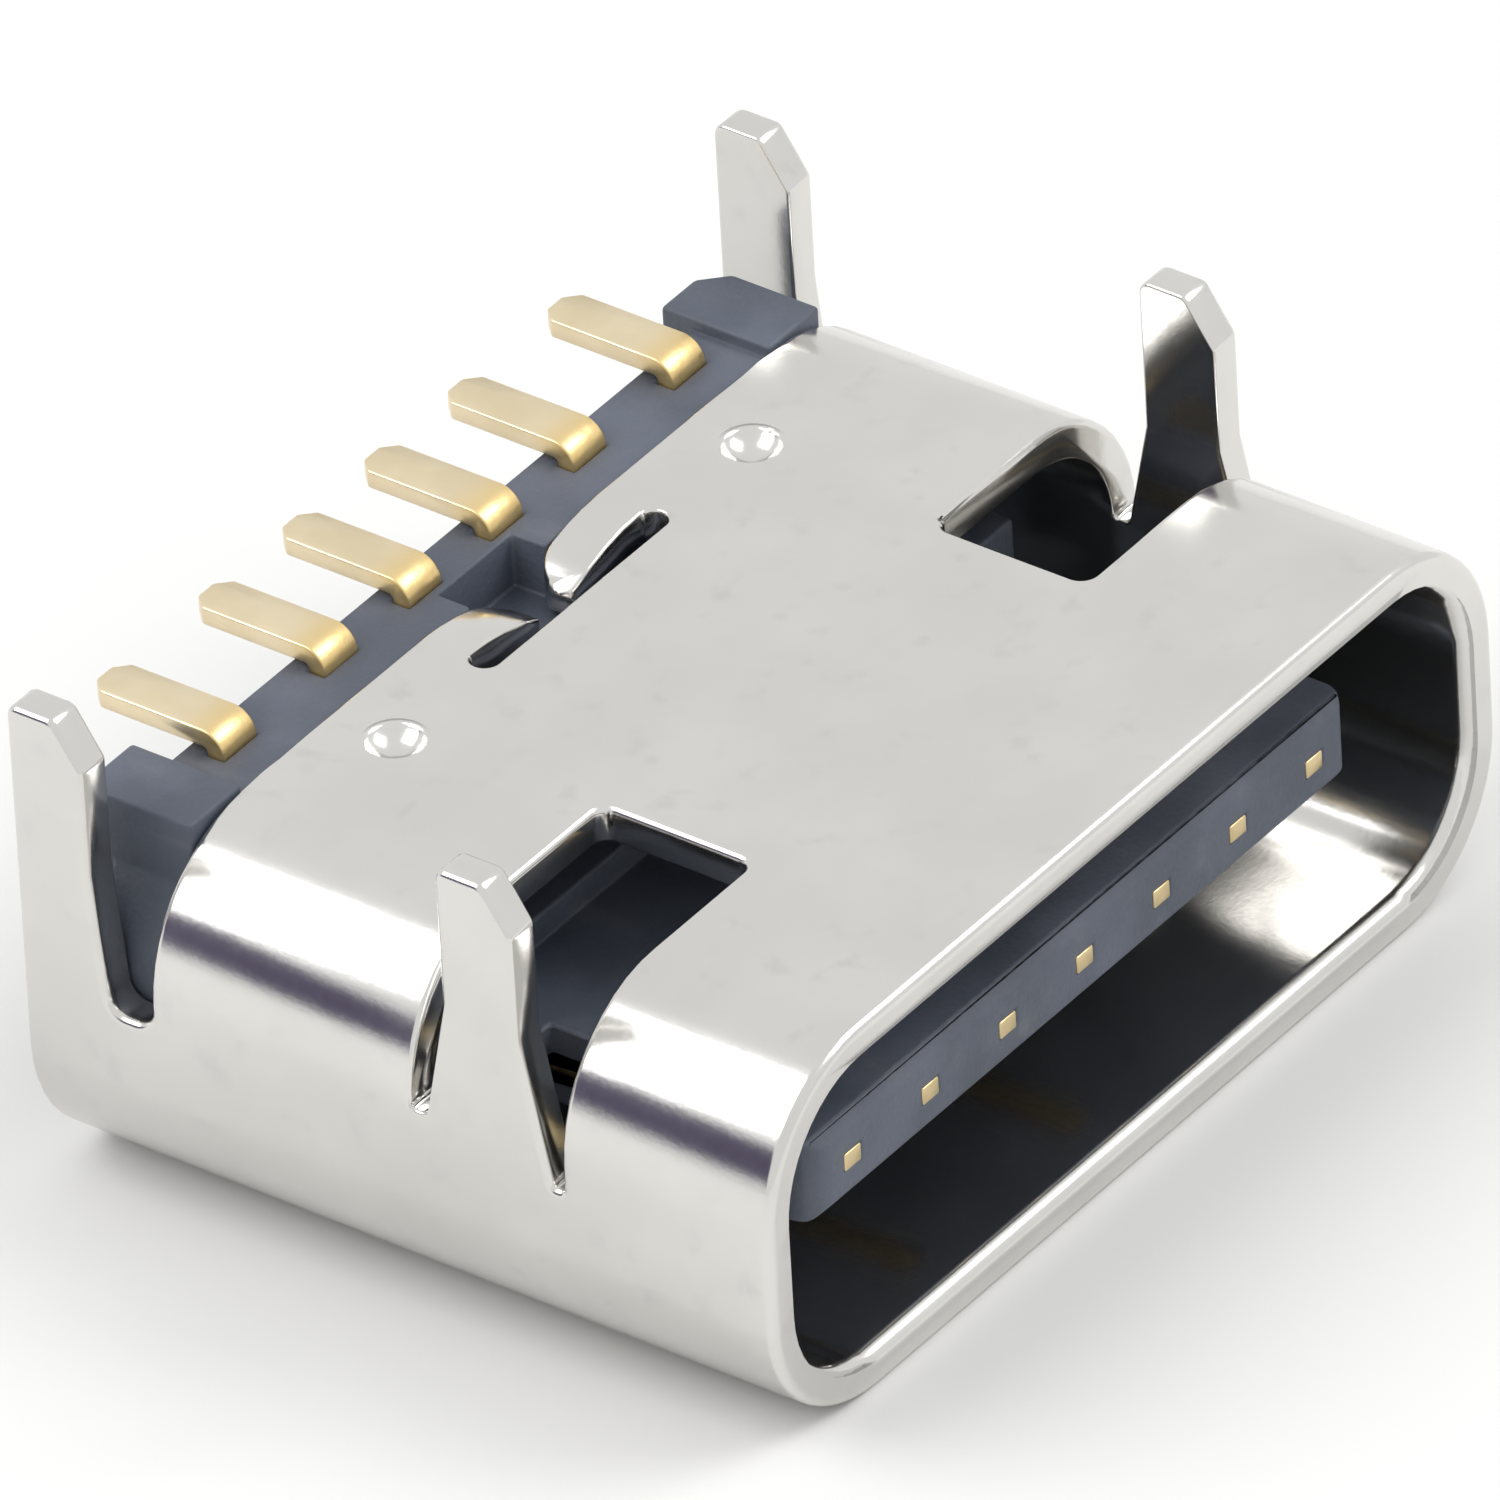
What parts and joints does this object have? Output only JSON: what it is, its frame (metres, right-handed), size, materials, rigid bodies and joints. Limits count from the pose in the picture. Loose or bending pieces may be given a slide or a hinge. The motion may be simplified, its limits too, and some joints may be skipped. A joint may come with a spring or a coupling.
{
  "type": "type-c power socket",
  "caption": "Board-mounted type-C power socket: flat metal shell with standing solder legs, a plastic tongue inside the mouth and flat solder leads at the back.",
  "frame": {"origin": "middle of the footprint, on the flat back that the socket lies on", "axes": "+X across the socket, +Y from the mouth towards the solder leads, +Z from the flat back towards the circuit board side, along the legs"},
  "size_m": [0.009, 0.007, 0.0042],
  "materials": {
    "shell_steel": "satin nickel plate on pressed steel",
    "housing_plastic": "moulded, matt",
    "insert_plastic": "moulded, matt",
    "plate_steel": "pressed sheet",
    "contact_metal": "thin gold plate on copper alloy"
  },
  "bodies": {
    "root": {"shell": "shell_steel", "housing": "housing_plastic", "board_side_insert": "insert_plastic", "back_side_insert": "insert_plastic", "mid_plate": "plate_steel", "contact_a5": "contact_metal", "contact_a9": "contact_metal", "contact_a12": "contact_metal", "contact_b5": "contact_metal", "contact_b9": "contact_metal", "contact_b12": "contact_metal"}
  },
  "joints": []
}
